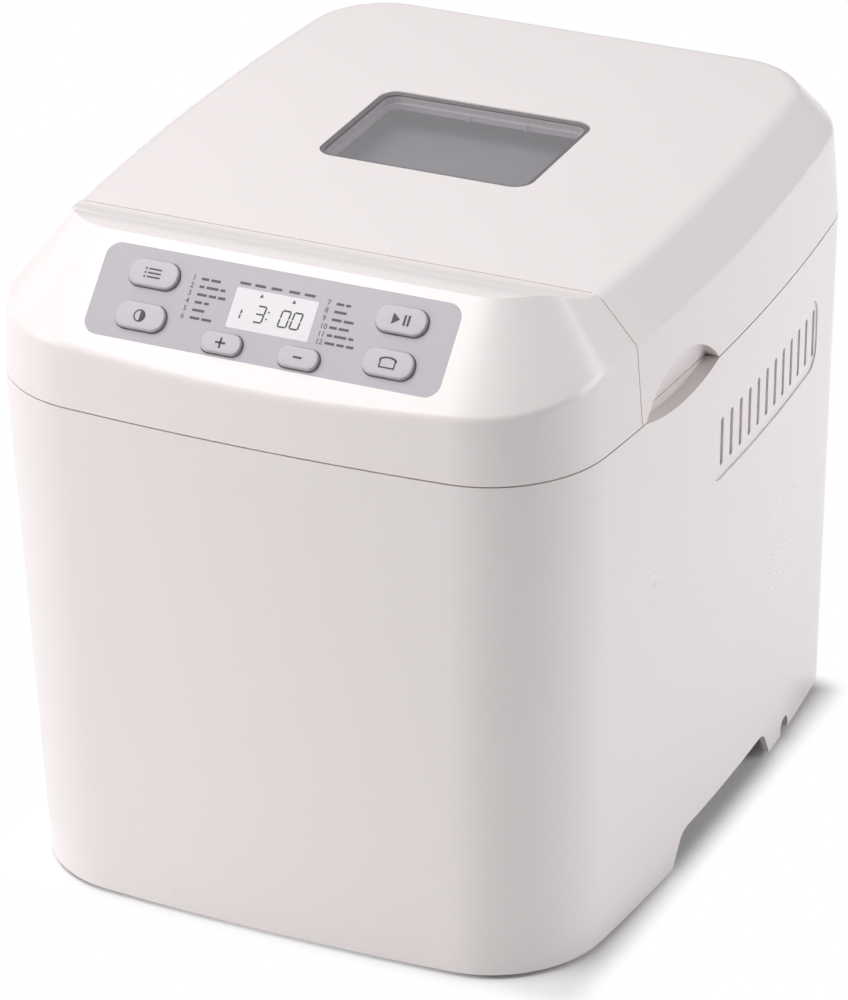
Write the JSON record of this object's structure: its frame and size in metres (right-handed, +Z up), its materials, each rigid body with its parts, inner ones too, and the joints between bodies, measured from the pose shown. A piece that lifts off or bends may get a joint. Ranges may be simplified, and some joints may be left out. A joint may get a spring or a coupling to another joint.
{
  "type": "bread machine",
  "caption": "Compact bread machine with a bowed white casing, sloped control panel, hinged lid with a window, lift-out pan and a belt-driven kneading paddle.",
  "frame": {"origin": "under the middle of the body, on the plane that the feet stand on", "axes": "+Z up, front with the control panel towards -Y, +X to the right seen from the front"},
  "size_m": [0.26, 0.3124, 0.275],
  "materials": {
    "white_shell": "satin gloss",
    "silver_panel": "satin metallic",
    "button_plastic": "gloss",
    "display_glass": "clear gloss",
    "window_glass": "gloss",
    "grey_gasket": "matte",
    "dark_rubber": "matte",
    "grey_plastic": "matte",
    "sheet_steel": "brushed",
    "turned_steel": "machined",
    "cast_alloy": "cast",
    "bronze_bush": "machined",
    "nonstick_coat": "speckled matte",
    "element_sheath": "oxidised",
    "white_ceramic": "matte",
    "circuit_board": "satin",
    "board_parts": "matte",
    "ribbon_grey": "satin"
  },
  "bodies": {
    "housing": {"body_casing": "white_shell", "front_fascia": "white_shell", "control_overlay": "silver_panel", "display_lens": "display_glass", "rubber_feet": "dark_rubber", "drive_belt": "dark_rubber", "cord_gland": "dark_rubber", "base_plate": "grey_plastic", "chamber_collar": "grey_plastic", "display_module": "grey_plastic", "chassis_frame": "sheet_steel", "motor_bracket": "sheet_steel", "chamber_liner": "sheet_steel", "chamber_spacers": "sheet_steel", "element_clips": "sheet_steel", "pan_seat": "sheet_steel", "hinge_brackets": "sheet_steel", "base_screws": "turned_steel", "motor_screws": "turned_steel", "board_screws": "turned_steel", "temperature_sensor": "turned_steel", "bearing_housing": "cast_alloy", "motor_housing": "cast_alloy", "shaft_bushes": "bronze_bush", "heating_element": "element_sheath", "element_terminals": "white_ceramic", "thermal_fuse": "white_ceramic", "control_board": "circuit_board", "power_board": "circuit_board", "tact_switches": "board_parts", "power_components": "board_parts", "motor_capacitor": "board_parts", "ribbon_cable": "ribbon_grey"},
    "lid": {"lid_shell": "white_shell", "lid_liner": "sheet_steel", "lid_seal": "grey_gasket", "window_pane": "window_glass", "window_inner_pane": "window_glass", "window_gasket": "grey_gasket", "hinge_pins": "turned_steel"},
    "pan": {"bread_pan": "nonstick_coat", "pan_foot": "cast_alloy", "pan_bush": "bronze_bush", "handle_pivots": "turned_steel"},
    "bail": {"pan_handle": "turned_steel"},
    "kneader": {"pan_shaft": "turned_steel", "upper_coupling": "cast_alloy", "kneading_paddle": "nonstick_coat"},
    "drive": {"drive_shaft": "turned_steel", "large_pulley": "grey_plastic", "lower_coupling": "cast_alloy"},
    "rotor": {"motor_shaft": "turned_steel", "small_pulley": "grey_plastic", "motor_fan": "grey_plastic"},
    "button_left_upper": {"button_left_upper": "button_plastic"},
    "button_left_lower": {"button_left_lower": "button_plastic"},
    "button_right_upper": {"button_right_upper": "button_plastic"},
    "button_right_lower": {"button_right_lower": "button_plastic"},
    "button_plus": {"button_plus": "button_plastic"},
    "button_minus": {"button_minus": "button_plastic"}
  },
  "joints": [
    {"name": "lid_hinge", "type": "hinge", "parent": "housing", "child": "lid", "pos_m": [0, 0.1529, 0.219], "axis": [-1, 0, 0], "range_deg": [0, 90]},
    {"name": "pan_twist", "type": "hinge", "parent": "housing", "child": "pan", "pos_m": [0, 0.03, 0.085], "axis": [0, 0, 1], "range_deg": [0, 10]},
    {"name": "handle_swing", "type": "hinge", "parent": "pan", "child": "bail", "pos_m": [0, 0.03, 0.201], "axis": [1, 0, 0], "range_deg": [0, 140]},
    {"name": "drive_spin", "type": "hinge", "parent": "housing", "child": "drive", "pos_m": [0, 0.03, 0.05], "axis": [0, 0, 1], "continuous": true},
    {"name": "paddle_spin", "type": "hinge", "parent": "pan", "child": "kneader", "pos_m": [0, 0.03, 0.09], "axis": [0, 0, 1], "continuous": true},
    {"name": "motor_spin", "type": "hinge", "parent": "housing", "child": "rotor", "pos_m": [0, -0.104, 0.05], "axis": [0, 0, 1], "continuous": true},
    {"name": "button_left_upper_press", "type": "slide", "parent": "housing", "child": "button_left_upper", "axis": [0, 0.7181, -0.6959], "range_m": [0, 0.0012], "stiffness_N_per_m": 300, "springref_m": -0.001},
    {"name": "button_left_lower_press", "type": "slide", "parent": "housing", "child": "button_left_lower", "axis": [0, 0.7181, -0.6959], "range_m": [0, 0.0012], "stiffness_N_per_m": 300, "springref_m": -0.001},
    {"name": "button_right_upper_press", "type": "slide", "parent": "housing", "child": "button_right_upper", "axis": [0, 0.7181, -0.6959], "range_m": [0, 0.0012], "stiffness_N_per_m": 300, "springref_m": -0.001},
    {"name": "button_right_lower_press", "type": "slide", "parent": "housing", "child": "button_right_lower", "axis": [0, 0.7181, -0.6959], "range_m": [0, 0.0012], "stiffness_N_per_m": 300, "springref_m": -0.001},
    {"name": "button_plus_press", "type": "slide", "parent": "housing", "child": "button_plus", "axis": [0, 0.7181, -0.6959], "range_m": [0, 0.0012], "stiffness_N_per_m": 300, "springref_m": -0.001},
    {"name": "button_minus_press", "type": "slide", "parent": "housing", "child": "button_minus", "axis": [0, 0.7181, -0.6959], "range_m": [0, 0.0012], "stiffness_N_per_m": 300, "springref_m": -0.001}
  ],
  "couplings": [
    {"joint": "paddle_spin", "follows": "drive_spin", "ratio": 1},
    {"joint": "motor_spin", "follows": "drive_spin", "ratio": 5}
  ]
}
